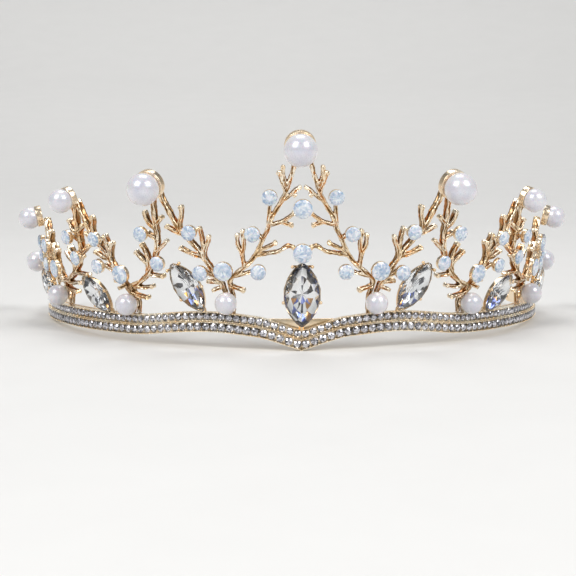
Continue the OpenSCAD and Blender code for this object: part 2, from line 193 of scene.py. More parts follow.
def stored(tree, name):
    """A value stored on the mesh under a name."""
    return add(tree, "Attribute", {"attribute_name": name}).outputs["Fac"]


def shaded(tree, constants, links):
    """Ends a material's tree in one shader."""
    shader = add(tree, "BsdfPrincipled", constants, links)
    add(tree, "OutputMaterial", {}, [("Surface", shader.outputs[0])])


def gold(name, bright, deep, roughness, grain, relief, paint_shade=False):
    """Pale gold plate. Its colour drifts over a few millimetres between a bright and a
    deeper gold, and its gloss and relief follow a tumbled grain of the given size.
    Where asked, shade is painted into its colour from a stored value: the side walls and
    back are painted tan with amber patches, the deepest grooves a dark brown, and the
    shaded places are rougher too."""
    material, tree, place = bare_material(name)
    drift = noise(tree, place, 7 * MM, Detail=2.0)
    tumbled = noise(tree, place, grain, Detail=4.0, Roughness=0.6)
    colour = blend(tree, mapped(tree, drift, 0.35, 0.65), bright, deep)
    gloss = mapped(tree, tumbled, 0.3, 0.7, *roughness)
    if paint_shade:
        # Painted shade: the stored value turns side walls and back tan and amber, and grooves
        # dark brown.
        painted_shade = stored(tree, "painted_shade")
        warm = mapped(tree, noise(tree, place, 2.5 * MM), 0.48, 0.62)
        painted_side_shade = blend(tree, warm, "#A27C4C", "#D0802A")
        colour = blend(tree, mapped(tree, painted_shade, 0.06, 0.5), colour, painted_side_shade)
        colour = blend(tree, mapped(tree, painted_shade, 0.5, 0.95), colour, "#3E2610")
        gloss = add(tree, "Math", {"operation": "MULTIPLY_ADD", 1: 0.25},
                    [(0, painted_shade), (2, gloss)]).outputs[0]
    bump = add(tree, "Bump", {"Strength": 0.5, "Distance": relief},
               [("Height", tumbled)]).outputs[0]
    shaded(tree, {"Metallic": 1.0},
           [("Base Color", colour), ("Roughness", gloss), ("Normal", bump)])
    return material


# Rolled strip: polished, so a low roughness, with a faint grain from the tumbler.
rolled_gold = gold("rolled_gold_plate", "#FFEFD6", "#F6D9AE", (0.14, 0.26),
                   0.5 * MM, 0.012 * MM)

strip_h = strip_high.z - strip_low.z
outline = rounded_bar(strip_t, strip_h, strip_round)
az = np.linspace(-band_end, band_end, 361)[:, None]
show("inner_strip_ring",
     tube(around(az, (strip_low.z + strip_high.z) / 2 + outline[:, 1],
                 strip_out - strip_t / 2 + outline[:, 0])),
     rolled_gold, ["inner_strip"])

# ---- Channels of the stone band ----------------------------------------------
# Two thin U-shaped channels, bent to a wave with a point at the front, mitred and
# brazed there. A row of tiny cast prongs stands on each lip, between the stones.

lip_t = 0.25 * MM
channel_d = 2.0 * MM
swell_h = 1.9 * MM
swell_az = 20.0
point_drop = 2.7 * MM
point_az = 9.0
stone_pitch = {"lower": 2.25 * MM, "upper": 2.05 * MM}
stone_gap = 0.2 * MM                        # between the CAD stones; the cut ones are wider
girdle_in = 0.3                             # girdle behind the face, in stone diameters
lower_extra_d = 0.3 * MM                    # the lower channel is deeper than the upper
prong_r, prong_sink = 0.21 * MM, 0.06 * MM
prong_h = 0.75 * prong_r
joint_gap = 0.05 * MM
rows = ("lower", "upper")
row_out = {r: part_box(r + "_channel_right")[1].x for r in rows}
row_top = {r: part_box(r + "_channel_right")[1].z - swell_h for r in rows}
row_floor = {"lower": 0.0, "upper": row_top["lower"] + joint_gap}


def band_z(az):
    """Height of the band's lower edge: two cosine swells beside a cusp at the front."""
    near = np.abs(az)
    swell = np.where(near < 2 * swell_az, swell_h * (1 - np.cos(np.pi * az / swell_az)) / 2, 0)
    return swell - point_drop * np.maximum(0, 1 - near / point_az) ** 1.4


def dome(radius, height, cols=8, rings=4):
    """A half ball with a flat base, its pole along z."""
    lift = np.linspace(0, math.pi / 2, rings + 1)[:, None]
    turn = np.linspace(0, 2 * math.pi, cols, endpoint=False)
    points = np.stack([radius * np.cos(lift) * np.cos(turn),
                       radius * np.cos(lift) * np.sin(turn),
                       height * np.sin(lift) + 0 * turn], -1)
    return tube(points)


def turned(shape, middle, across, up, out):
    """A shape set down with its x, y and z along three directions."""
    points, faces = shape
    return middle + points @ np.stack([across, up, out]), faces


def channel(row):
    """The right half: a U outline, open to the front, carried along the wave, with a
    row of prongs on each lip."""
    r_out, low, high = row_out[row], row_floor[row], row_top[row]
    r_in = r_out - channel_d - (lower_extra_d if row == "lower" else 0)
    t, soft = lip_t, 0.08 * MM
    outline = np.array([
        [r_in, low + soft], [r_in + soft, low], [r_out - soft, low], [r_out, low + soft],
        [r_out, low + t - soft], [r_out - soft, low + t], [r_in + t, low + t],
        [r_in + t, high - t], [r_out - soft, high - t], [r_out, high - t + soft],
        [r_out, high - soft], [r_out - soft, high], [r_in + soft, high], [r_in, high - soft]])
    az = np.concatenate([np.linspace(0.02, 42, 169), np.linspace(43, band_end, 56)])[:, None]
    solids = [tube(around(az, band_z(az) + outline[:, 1], outline[:, 0]))]
    girdle_r = r_out - girdle_in * (stone_pitch[row] - stone_gap)
    pitch = math.degrees(stone_pitch[row] / girdle_r)
    for place in np.arange(1, int((band_end - 0.5) / pitch) + 1) * pitch:
        out = around(place, 0, 1.0)
        side = around(place + 90, 0, 1.0)
        for z in (low + 0.8 * t, high - 0.8 * t):
            middle = around(place, band_z(place) + z, r_out - prong_sink)
            solids.append(turned(dome(prong_r, prong_h), middle, side, UP, out))
    return together(solids)


def mirrored(shape, side):
    """The left half of the crown is the mirror image of the right."""
    points, faces = shape
    return points * (np.array([-1, 1, 1]) if side == "left" else 1), faces


# Cast channel: the same plate on a slightly coarser cast skin.
channel_gold = gold("channel_gold_plate", "#FFF5E0", "#FAE0B8", (0.18, 0.32),
                    0.35 * MM, 0.02 * MM)
for row in rows:
    right_half = channel(row)
    for side in SIDES:
        show(f"{row}_channel_{side}_cast", mirrored(right_half, side), channel_gold,
             [f"{row}_channel_{side}"])

# ---- Stones of the band ------------------------------------------------------
# Foil-backed glass chatons about 2 mm across: a table, two rings of crown facets and a
# pointed back. The foil throws light back out of the front.


def solids_of(node):
    """The corners of each closed solid of a CAD node. Doubled corners become one, and
    the lowest number among joined corners spreads until each solid has its own."""
    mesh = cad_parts[node].data
    corners = np.empty(len(mesh.vertices) * 3, np.float32)
    mesh.vertices.foreach_get("co", corners)
    edges = np.empty(len(mesh.edges) * 2, np.int32)
    mesh.edges.foreach_get("vertices", edges)
    whole = np.round(corners.reshape(-1, 3) / (0.5e-6)).astype(np.int64)
    spots, which = np.unique(whole, axis=0, return_inverse=True)
    a, b = which.reshape(-1)[edges.reshape(-1, 2)].T
    label, before = np.arange(len(spots)), None
    while before is None or (label != before).any():
        before = label.copy()
        low = np.minimum(label[a], label[b])
        np.minimum.at(label, a, low)
        np.minimum.at(label, b, low)
        label = label[label]
    return [spots[label == n] * 0.5e-6 for n in np.unique(label)]


def middle_of(corners):
    return (corners.min(0) + corners.max(0)) / 2


def spun(across, up, degrees):
    """Two directions at right angles, turned in their own plane."""
    turn = math.radians(degrees)
    return (across * math.cos(turn) + up * math.sin(turn),
            up * math.cos(turn) - across * math.sin(turn))


def cut_stone(rings, count):
    """A faceted stone: rings of (share of the radius, height, half steps of turn), each
    joined to the next by triangles, with a flat face across each end."""
    turn = (np.arange(count)[None] + np.array([r[2] for r in rings])[:, None] / 2)
    turn = turn * 2 * math.pi / count
    size = np.array([r[0] for r in rings])[:, None]
    high = np.array([r[1] for r in rings])[:, None]
    points = np.stack([size * np.cos(turn), size * np.sin(turn), high + 0 * turn], -1)
    faces = []
    for i in range(len(rings) - 1):
        ahead = rings[i][2] >= rings[i + 1][2]
        j = np.arange(count)
        k = (j + 1) % count
        a, b = i * count, (i + 1) * count
        if rings[i][2] == rings[i + 1][2]:
            faces += [np.stack([a + j, a + k, b + k], -1), np.stack([a + j, b + k, b + j], -1)]
        elif ahead:
            faces += [np.stack([a + j, b + k, b + j], -1), np.stack([a + j, a + k, b + k], -1)]
        else:
            faces += [np.stack([a + j, a + k, b + j], -1), np.stack([a + k, b + k, b + j], -1)]
    for i in (0, len(rings) - 1):
        j = np.arange(1, count - 1)
        faces.append(np.stack([i * count + 0 * j, i * count + j, i * count + j + 1], -1))
    return points.reshape(-1, 3), np.concatenate(faces)


def paint_facet_reflections(piece, chance, shares, levels):
    """Stores a painted reflection on each face of the mesh: one of the levels, drawn by the
    shares, standing for the bright, middle and dark parts of what the faces throw back."""
    mesh = piece.data
    painted_reflection = mesh.attributes.new("painted_reflection", "FLOAT", "FACE")
    drawn = chance.choice(levels, len(mesh.polygons), p=shares)
    drawn = drawn + chance.uniform(-0.06, 0.06, len(drawn))
    painted_reflection.data.foreach_set("value", drawn.astype(np.float32))


def foiled_glass(name):
    """Foil-backed glass: the foil gives a mirror under a clear glass coat. Each face of
    the mesh has a reflection painted into its colour, from dark to light, and the light
    colour's tint wanders a little over the stones."""
    material, tree, place = bare_material(name)
    cell = noise(tree, place, 1.3 * MM, Detail=1.0)
    light = blend(tree, cell, "#F8FAFF", "#DAD6DE")
    # Painted reflection: each face's stored value blends from a dark to a light colour.
    colour = blend(tree, stored(tree, "painted_reflection"), "#38363E", light)
    shaded(tree, {"Metallic": 0.8, "Coat Weight": 1.0, "Coat Roughness": 0.02,
                  "Coat IOR": 1.6},
           [("Base Color", colour), ("Roughness", mapped(tree, cell, 0, 1, 0.05, 0.16))])
    return material


chaton_glass = foiled_glass("foiled_chaton_glass")
chaton = cut_stone([(0.44, 0.36, 0), (0.70, 0.25, 1), (1.0, 0.03, 0), (1.0, -0.05, 0),
                    (0.1, -0.9, 1)], 8)
stone_chance = np.random.default_rng(11)
edge_gap, crown_h = 0.02 * MM, 0.22 * MM    # round each stone, and its front above its girdle
for row in rows:
    opening = row_top[row] - row_floor[row] - 2 * lip_t
    stone_r = min(stone_pitch[row], opening) / 2 - edge_gap
    for side in SIDES:
        node = f"{row}_row_stones_{side}"
        stones = []
        for number, corners in enumerate(solids_of(node)):
            middle = middle_of(corners)
            out = unit(middle * [1, 1, 0])
            front = ((corners - middle) @ out).max()
            girdle = middle + out * (front - crown_h)
            across = np.array([-out[1], out[0], 0])
            points, faces = chaton
            stones.append(turned((points * stone_r, faces), girdle,
                                 *spun(across, UP, 22.5 * (number % 3)), out))
        piece = show(f"{node}_cut", together(stones), chaton_glass, [node],
                     crease=5)
        # Each chaton facet gets a painted reflection: dark, middle and bright in about equal
        # shares.
        paint_facet_reflections(piece, stone_chance, (0.30, 0.34, 0.36), (0.06, 0.5, 0.94))

# ---- Branches ------------------------------------------------------------------
# Fourteen cast twig branches, two to an arch. Each is a flat-sided stem with a groove
# down its front and side twigs that end in clubs, cast in one, tumbled and plated.

knot_az = (15.4, 38.7, 65.0, 90.0)
knot_z = np.array([15.0, 14.0, 13.0, 13.0]) * MM
peak_az = (0.0, 28.6, 50.5, 80.0)
peak_z = np.array([52.3, 42.0, 37.6, 30.2]) * MM
lean_front, lean_side = 13.0, 6.0
stem_w, twig_w, twig_d = 1.5 * MM, 1.15 * MM, 2.2 * MM
slim = 0.86          # the knobs and clubs bring the twigs back to their full width
ring_r = strip_out - strip_t / 2
lower_pearl_d = 6.0 * MM
half_leg_gap = 0.2 * MM                     # between the two legs at a knot
leg_share, leg_more = 0.63, 0.15 * MM       # of the lower pearl: legs are straight so far
band_h = row_top["upper"]

# A route's points are [across, up], in hundredths of the way from leg to peak.
FRONT_STEM = [[0, 2], [8, 7], [20, 12], [31, 17], [41, 25], [48, 33], [55, 40], [60, 48],
              [69, 56], [78, 65], [83, 73], [88, 82], [93, 96]]
FRONT_TWIGS = [
    [[21, 12], [19, 22], [14, 29], [14, 37]], [[19, 21], [22, 28], [21, 40]],
    [[78, 66], [74, 73], [69, 81]], [[79, 70], [76, 77], [75, 85]],
    [[77, 61], [84, 64], [92, 68], [99, 70]], [[86, 66], [92, 63]],
    [[60, 43], [76, 46], [91, 52]], [[73, 45], [89, 42]], [[41, 24], [57, 28], [67, 31]],
    [[37, 21], [56, 23], [68, 24], [81, 28], [91, 26]], [[0, -1], [22, -5]],
    [[48, 33], [36, 38]], [[55, 42], [59, 64]], [[8, 6], [42, 11]]]
NEAR_STEM = [[1, 0], [7, 5], [16, 14], [25, 23], [38, 35], [51, 44], [64, 52], [74, 63],
             [82, 74], [89, 83], [95, 96]]
NEAR_TWIGS = [
    [[25, 23], [27, 31], [19, 43], [18, 49]], [[27, 30], [28, 38], [30, 50], [34, 57]],
    [[64, 51], [64, 59], [59, 71], [60, 78]], [[64, 49], [91, 57]],
    [[32, 27], [50, 30], [70, 36]], [[1, 1], [28, 3]], [[1, -3], [20, -7]]]
NEAR_OPAL_TWIGS = {1: [[[50, 43], [44, 53]], [[8, 6], [32, 13]]],
                   3: [[[50, 43], [45, 53]], [[14, 11], [49, 21]]]}
FAR_STEM = [[0, -3], [21, 1], [37, 5], [55, 12], [67, 19], [74, 25], [83, 33], [89, 42],
            [91, 52], [90, 65], [91, 78], [92, 96]]
FAR_TWIGS = [
    [[54, 12], [56, 19], [46, 25], [26, 33]], [[60, 16], [61, 25], [56, 33], [46, 41]],
    [[83, 33], [90, 35], [115, 45]], [[53, 10], [97, 9]], [[91, 55], [74, 61], [66, 73]],
    [[91, 59], [102, 64], [109, 68]], [[10, -2], [36, -3], [66, -1]],
    [[0, -9], [23, -12], [48, -13]]]
FAR_OPAL_TWIGS = {2: [[[90, 45], [62, 52]], [[72, 24], [94, 24]]],
                  4: [[[91, 48], [72, 54]], [[75, 26], [89, 31]]]}
BRANCHES = ("front", "arch1_near", "arch1_far", "arch2_near", "arch2_far",
            "arch3_near", "arch3_far")


def lean(az):
    """Outward lean of the arches, easing from the front's to the sides'."""
    t = np.clip((np.abs(az) - 45) / 35, 0, 1)
    return np.radians(lean_front + (lean_side - lean_front) * t * t * (3 - 2 * t))


def face_r(az, z):
    return ring_r + z * np.tan(lean(az))


def outward(az, tip=0.0):
    """Direction out of the leaning face, tipped down by some degrees more."""
    a, down = np.radians(az), lean(az) + math.radians(tip)
    return np.stack([np.sin(a) * np.cos(down), -np.cos(a) * np.cos(down), -np.sin(down)], -1)


def smooth_route(points, spacing):
    """A Catmull-Rom curve through the points, its steps even in length."""
    p = np.concatenate([2 * points[:1] - points[1:2], points, 2 * points[-1:] - points[-2:-1]])
    t = np.linspace(0, 1, 24, endpoint=False)[:, None, None]
    a, b, c, d = p[:-3], p[1:-2], p[2:-1], p[3:]
    curve = 0.5 * (2 * b + (c - a) * t + (2 * a - 5 * b + 4 * c - d) * t ** 2
                   + (3 * b - a - 3 * c + d) * t ** 3)
    curve = np.concatenate([curve.transpose(1, 0, 2).reshape(-1, p.shape[1]), points[-1:]])
    run = np.concatenate([[0], np.cumsum(np.linalg.norm(np.diff(curve[:, :3], axis=0), axis=1))])
    steps = np.linspace(0, run[-1], max(4, int(run[-1] / spacing)))
    return np.stack([np.interp(steps, run, column) for column in curve.T], -1), steps


def twig(stations, width, chance, club):
    """A twig: stations are [x, y, z, depth, azimuth]. The outline is a flat-sided bar
    with a groove down the front and a shallower one down each side. Its width and the
    height of its ridges wander along it, and it ends in a club rounded like a ball."""
    route, run = smooth_route(stations, 0.22 * MM)
    along = unit(np.gradient(route[:, :3], axis=0))
    out = outward(route[:, 4])
    across = unit(np.cross(along, out))
    front = np.cross(across, along)
    turn = np.linspace(0, 2 * math.pi, 28, endpoint=False)
    x = 0.5 * np.sign(np.cos(turn)) * np.abs(np.cos(turn)) ** 0.55
    y = 0.5 * np.sign(np.sin(turn)) * np.abs(np.sin(turn)) ** 0.55
    phase = chance.uniform(0, 2 * math.pi, 6)
    s = run[:, None] / MM
    knobs = 1 + 0.09 * np.sin(s * 2.1 + phase[0]) + 0.06 * np.sin(s * 4.7 + phase[1])
    ridges = 1 + 0.07 * np.sin(s * 1.7 + phase[2]) + 0.05 * np.sin(s * 5.3 + phase[3])
    sway = 0.16 * np.sin(s * 1.3 + phase[4])
    groove = 0.24 * np.exp(-((x - sway) / 0.15) ** 2) * (y > 0.2)
    flute = 0.14 * np.exp(-((y - 0.05) / 0.14) ** 2) * np.sign(x)
    left = (run[-1] - run)[:, None]
    swell = 1 + club * np.exp(-((left - 0.55 * MM) / (0.5 * MM)) ** 2)
    ball = np.minimum(1, left / (0.45 * width))
    close = np.sqrt(np.clip(1 - (1 - ball) ** 2, 0.0004, 1))
    w = width * knobs * swell * close
    d = route[:, 3:4] * ridges * (0.35 + 0.65 * close)
    points = (route[:, None, :3] + across[:, None] * (w * (x - flute))[..., None]
              + front[:, None] * (d * (y - groove))[..., None])
    line = np.concatenate([route[:, :3], across, front, s, w, d, 0 * s + phase[5],
                           left / MM], 1)
    return tube(points), line


def place_route(b, route):
    """Stations of a route given in hundredths between a branch's leg and its peak."""
    arch, knot = (0, 0) if b == 0 else (math.ceil(b / 2), b // 2)
    foot = math.degrees((stem_w / 2 + half_leg_gap) / ring_r)
    leg = knot_az[knot] + np.sign(peak_az[arch] - knot_az[knot]) * foot
    p = np.array(route, float) / 100
    az = leg + (peak_az[arch] - leg) * p[:, 0]
    z = knot_z[knot] + (peak_z[arch] - knot_z[knot]) * p[:, 1]
    stations = np.concatenate([around(az, z, face_r(az, z)),
                               np.stack([0 * az + twig_d, az], -1)], -1)
    return stations, leg


def branch(b):
    """All the twigs of a right-hand branch, as overlapping closed tubes, and the lines
    down their middles: place, across, front, run in mm, width, depth, phase, and the mm
    left to the end."""
    chance = np.random.default_rng(20 + b)
    stem = FRONT_STEM if b == 0 else NEAR_STEM if b % 2 else FAR_STEM
    twigs = FRONT_TWIGS if b == 0 else NEAR_TWIGS if b % 2 else FAR_TWIGS
    if b > 0:
        more = NEAR_OPAL_TWIGS if b % 2 else FAR_OPAL_TWIGS
        twigs = twigs + more[min(b, max(more))]
    stations, leg = place_route(b, stem)
    low_z = strip_high.z + joint_gap
    high_z = band_z(leg) + band_h + leg_share * lower_pearl_d + leg_more
    legs = [[*around(leg, z, ring_r), strip_t, leg] for z in (low_z, high_z)]
    made = [twig(np.concatenate([legs, stations]), slim * stem_w, chance, 0.0)]
    for route in twigs:
        made.append(twig(place_route(b, route)[0], slim * twig_w, chance, 0.34))
    return together([m[0] for m in made]), np.concatenate([m[1] for m in made])


def strand_grooves(points, line):
    """How deep each point lies in the grooves between a twig's strands, and how far
    round it lies from the front, both from 0 to 1: the back counts as 1. The nearest
    place on the lines gives the point's share across and to the front. Two grooves
    wander down the front, fading in and out, and one runs down each side."""
    nearest = np.empty(len(points), int)
    for start in range(0, len(points), 4000):
        some = points[start:start + 4000]
        nearest[start:start + 4000] = ((line[:, :3] ** 2).sum(1)
                                       - 2 * some @ line[:, :3].T).argmin(1)
    near = line[nearest]
    away = points - near[:, :3]
    u = (away * near[:, 3:6]).sum(1) / (near[:, 10] / 2)
    f = (away * near[:, 6:9]).sum(1) / (near[:, 11] / 2)
    run, phase = near[:, 9], near[:, 12]
    deep = np.zeros(len(points))
    for way in (-1, 1):
        sway = 0.34 * way + 0.2 * np.sin(1.3 * run + phase + 2 * way)
        fade = np.clip(0.65 + 0.6 * np.sin(0.9 * run + 3 * phase + way), 0, 1)
        deep = np.maximum(deep, fade * (f > 0.2) * np.exp(-((u - sway) / 0.24) ** 2))
        low = 0.05 + 0.25 * np.sin(1.1 * run + 2 * phase + way)
        deep = np.maximum(deep, (way * u > 0.45) * np.exp(-((f - low) / 0.22) ** 2))
    club = np.clip((near[:, 13] - 0.9) / 0.5, 0, 1)
    return deep * club, np.clip(0.75 - 1.2 * f, 0, 1) * club


def cast_in_one(piece, grain, line, cut):
    """Melts overlapping tubes into one skin on an even grain and relaxes it. Presses the
    grooves in along the normals, and stores the shade to paint on each corner: the most of
    the groove's depth, how far it lies below its relaxed neighbours, and how far round from
    the front."""
    remesh = piece.modifiers.new("one_skin", "REMESH")
    remesh.mode, remesh.voxel_size, remesh.use_smooth_shade = "VOXEL", grain, True
    made = bpy.data.meshes.new_from_object(
        piece.evaluated_get(bpy.context.evaluated_depsgraph_get()))
    piece.modifiers.clear()
    old, piece.data = piece.data, made
    bpy.data.meshes.remove(old)
    count = len(made.vertices)
    co = np.empty(count * 3, np.float32)
    made.vertices.foreach_get("co", co)
    co = co.reshape(-1, 3).astype(float)
    edges = np.empty(len(made.edges) * 2, np.int32)
    made.edges.foreach_get("vertices", edges)
    a, b = edges.reshape(-1, 2).T
    degree = np.bincount(a, minlength=count) + np.bincount(b, minlength=count)

    def relaxed(v, times, share):
        for _ in range(times):
            total = np.stack([np.bincount(a, v[b, i], count) + np.bincount(b, v[a, i], count)
                              for i in range(3)], -1)
            v = v + share * (total / degree[:, None] - v)
        return v

    co = relaxed(co, 1, 0.5)
    made.vertices.foreach_set("co", co.astype(np.float32).ravel())
    made.update()
    normals = np.empty(count * 3, np.float32)
    made.vertices.foreach_get("normal", normals)
    normals = normals.reshape(-1, 3)
    below = np.clip(((relaxed(co, 14, 0.5) - co) * normals).sum(1) / (0.12 * MM), 0, 1)
    deep, aside = strand_grooves(co, line)
    co = co - normals * (cut * deep)[:, None]
    made.vertices.foreach_set("co", co.astype(np.float32).ravel())
    made.update()
    # Painted shade for the gold: grooves, hollows below their neighbours, side walls and back.
    painted_shade = made.attributes.new("painted_shade", "FLOAT", "POINT")
    shade = np.maximum(np.maximum(0.8 * below, 0.95 * deep), 0.42 * aside)
    painted_shade.data.foreach_set("value", shade.astype(np.float32))


# Cast brass: the plate lies on a tumbled casting, so highlights are broken. Shade is
# painted on the hollows, the side walls and the back as a deeper, warmer gold.
cast_gold = gold("cast_gold_plate", "#FFF5E2", "#FADFB6", (0.14, 0.30),
                 0.30 * MM, 0.05 * MM, paint_shade=True)
skin_grain, groove_cut = 0.16 * MM, 0.15 * MM
for b, name in enumerate(BRANCHES):
    right_half, line = branch(b)
    for side in SIDES:
        flip = np.array([-1 if side == "left" else 1, 1, 1])
        piece = show(f"{name}_branch_{side}_cast", mirrored(right_half, side), cast_gold,
                     [f"{name}_branch_{side}"])
        sided = line * np.concatenate([flip, flip, flip, np.ones(5)])
        cast_in_one(piece, skin_grain, sided, groove_cut)

# ---- Pearl seats -----------------------------------------------------------------
# A turned brass cup behind each upper pearl, dished to the pearl's curve, with a peg
# in its middle that the pearl is glued on. Its rim shows above and beside the pearl.

seat_tip = 6.0
seat_disc, seat_dish, peg_depth, glue = 1.8 * MM, 1.5 * MM, 3.0 * MM, 0.05 * MM
peg_r = 0.45 * MM
large_d, medium_d, small_d = 8.6 * MM, 6.6 * MM, 6.4 * MM


def turned_piece(profile, cols=48):
    """Revolves (radius, height) points about z. Radius 0 makes a pole."""
    p = np.array(profile)
    turn = np.linspace(0, 2 * math.pi, cols, endpoint=False)
    points = np.stack([p[:, :1] * np.cos(turn), p[:, :1] * np.sin(turn),
                       p[:, 1:] + 0 * turn], -1)
    return points.reshape(-1, 3), grid_faces(len(p), cols)


def arc(r, z, radius, start, end, steps):
    """Points along an arc in the (radius, height) plane, in degrees."""
    a = np.radians(np.linspace(start, end, steps))
    return np.stack([r + radius * np.cos(a), z + radius * np.sin(a)], -1)


def axes_out(az, tip=0.0):
    """Across, up and outward directions of the leaning face."""
    out = outward(az, tip)
    across = around(az + 90, 0, 1.0)
    return across, np.cross(out, across), out


def azimuth(point):
    return math.degrees(math.atan2(point[0], -point[1]))


def pearl_place(node):
    """Middle of an upper pearl, and the directions that it faces along."""
    low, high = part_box(node)
    middle = (np.array(low) + np.array(high)) / 2
    az = 0.0 if node == "front_pearl" else azimuth(middle)
    return middle, axes_out(az, seat_tip)


def seat(d):
    """Back, rounded rim, dish struck from the pearl's own centre, and peg."""
    rim, lip = d / 2 - 0.2 * MM, 0.16 * MM
    centre = seat_disc - seat_dish + d / 2 + glue
    ball = d / 2 + glue
    inner = math.degrees(math.asin((centre - seat_disc + 0.02 * MM) / ball))
    foot = math.degrees(math.asin(math.sqrt(1 - (peg_r / ball) ** 2)))
    return turned_piece(np.concatenate([
        [[0, 0]], arc(rim - 0.3 * MM, 0.3 * MM, 0.3 * MM, -90, 0, 6),
        arc(rim - lip, seat_disc - lip, lip, 0, 90, 5),
        arc(0, centre, ball, -inner, -foot, 16),
        [[peg_r, centre - ball], [peg_r, 0.15 * MM + peg_depth], [0, 0.3 * MM + peg_depth]]]))


seat_gold = gold("turned_gold_plate", "#FFF0D8", "#F8DDB8", (0.20, 0.34),
                 0.4 * MM, 0.012 * MM)
pearl_nodes = {"large": (large_d, ["front_pearl", "arch1_pearl_left", "arch1_pearl_right"]),
               "medium": (medium_d, [f"arch{a}_pearl_{s}" for a in (2, 3) for s in SIDES]),
               "small": (small_d, [f"end_pearl_{s}" for s in SIDES])}
for size, (d, pearls) in pearl_nodes.items():
    made = []
    for node in pearls:
        middle, directions = pearl_place(node)
        base = middle - directions[2] * (seat_disc - seat_dish + d / 2 + glue)
        made.append(turned(seat(d), base, *directions))
    show(f"{size}_pearl_seats_turned", together(made), seat_gold,
         [f"{size}_pearl_seats"])

# ---- Pearls ------------------------------------------------------------------------
# Beads coated in many thin layers of pearl essence, drilled part way for the peg. The
# coats give a soft deep gloss and a faint lavender, and a paler sheen is painted towards
# the rim.


def pearl(d, chance):
    """A drilled ball whose coat is a hundredth or so of a millimetre uneven."""
    hole = peg_r + glue
    start = -90 + math.degrees(math.asin(hole / (d / 2)))
    profile = np.concatenate([[[0, -d / 2 + peg_depth], [hole, -d / 2 + peg_depth]],
                              arc(0, 0, d / 2, start, 90, 60)])
    profile[-1, 0] = 0
    points, faces = turned_piece(profile, 96)
    way = unit(points + 1e-9)
    phase = chance.uniform(0, 6, 3)
    wave = (np.sin(3 * way[:, 0] + phase[0]) * np.sin(4 * way[:, 1] + phase[1])
            + np.sin(5 * way[:, 2] + phase[2]))
    return points * (1 - 0.0018 * (1 + wave / 2))[:, None], faces


def pearl_coat(name):
    """Pearl essence: a milky white body with a slow grey to lavender drift, a slight
    glow from inside, a paler sheen painted in towards the rim, and a clear lacquer over it."""
    material, tree, place = bare_material(name)
    drift = noise(tree, place, 5 * MM, Detail=2.0)
    fine = noise(tree, place, 0.25 * MM, Detail=2.0)
    body = blend(tree, mapped(tree, drift, 0.35, 0.65), "#D8D7DD", "#C4C4D2")
    # Painted sheen: the colour turns paler where the surface turns away towards the rim.
    rim = add(tree, "LayerWeight", {"Blend": 0.35}).outputs["Facing"]
    colour = blend(tree, rim, body, "#F4F0F1")
    bump = add(tree, "Bump", {"Strength": 0.12, "Distance": 0.01 * MM},
               [("Height", fine)]).outputs[0]
    shaded(tree, {"IOR": 1.7, "Subsurface Weight": 0.12, "Subsurface Scale": 0.5 * MM,
                  "Coat Weight": 1.0, "Coat Roughness": 0.2, "Coat IOR": 1.8,
                  "Sheen Weight": 0.1, "Sheen Roughness": 0.4},
           [("Base Color", colour), ("Roughness", mapped(tree, fine, 0, 1, 0.22, 0.34)),
            ("Normal", bump)])
    return material


pearl_essence = pearl_coat("pearl_essence_coat")
chance = np.random.default_rng(5)
for d, pearls in pearl_nodes.values():
    for node in pearls:
        middle, directions = pearl_place(node)
        show(f"{node}_coated", turned(pearl(d, chance), middle, *directions),
             pearl_essence, [node], crease=60)

lower, stand = [], []
post_pad, post_r = 0.7 * MM, 1.45 * MM
for corners in solids_of("lower_pearls"):
    middle = middle_of(corners)
    out = unit(middle * [1, 1, 0])
    across = np.array([-out[1], out[0], 0])
    lower.append(turned(pearl(lower_pearl_d, chance), middle, across, UP, out))
    base = middle - out * (lower_pearl_d / 2 + glue + post_pad)
    soft = 0.12 * MM
    post = turned_piece(np.concatenate([
        [[0, 0]], arc(post_r - soft, soft, soft, -90, 0, 4),
        arc(post_r - soft, post_pad - soft, soft, 0, 90, 4),
        [[peg_r, post_pad], [peg_r, post_pad + peg_depth - 0.1 * MM],
         [0, post_pad + peg_depth]]]))
    stand.append(turned(post, base, across, UP, out))
show("lower_pearls_coated", together(lower), pearl_essence, ["lower_pearls"],
     crease=60)
show("lower_pearl_posts_turned", together(stand), seat_gold,
     ["lower_pearl_posts"])

# ---- Opal cups ---------------------------------------------------------------------
# Small turned cups that hold the opals. The foot of the stone is glued into the cup,
# and its edge covers the rim.

cup_h, cup_t, cup_floor, cup_in = 1.4 * MM, 0.3 * MM, 0.4 * MM, 0.1 * MM
set_gap = 0.06 * MM
opal_d = {"large": 5.2 * MM, "small": 4.2 * MM}


def cup(d):
    """Chamfered floor, straight wall and a round rim."""
    wall, soft = d / 2 - cup_in, cup_t / 2
    return turned_piece(np.concatenate([
        [[0, 0]], arc(d / 2 - 0.6 * MM, 0.12 * MM, 0.12 * MM, -90, -40, 3),
        arc(wall - 0.1 * MM, cup_floor, 0.1 * MM, -40, 0, 3),
        arc(wall - soft, cup_h - soft, soft, 0, 180, 8),
        [[wall - cup_t, cup_floor], [0, cup_floor]]]), 40)


opal_spots = {}
for size, d in opal_d.items():
    made, opal_spots[size] = [], []
    for corners in solids_of(f"{size}_opal_cups"):
        middle = middle_of(corners)
        directions = axes_out(azimuth(middle))
        base = middle - directions[2] * cup_h / 2
        opal_spots[size].append((base, directions))
        made.append(turned(cup(d), base, *directions))
    show(f"{size}_opal_cups_turned", together(made), seat_gold,
         [f"{size}_opal_cups"])

# ---- Opals -------------------------------------------------------------------------
# Milky blue opal glass, pressed and fire polished, with two rings of facets round a
# small table. Milky clouds make parts of each stone look white.


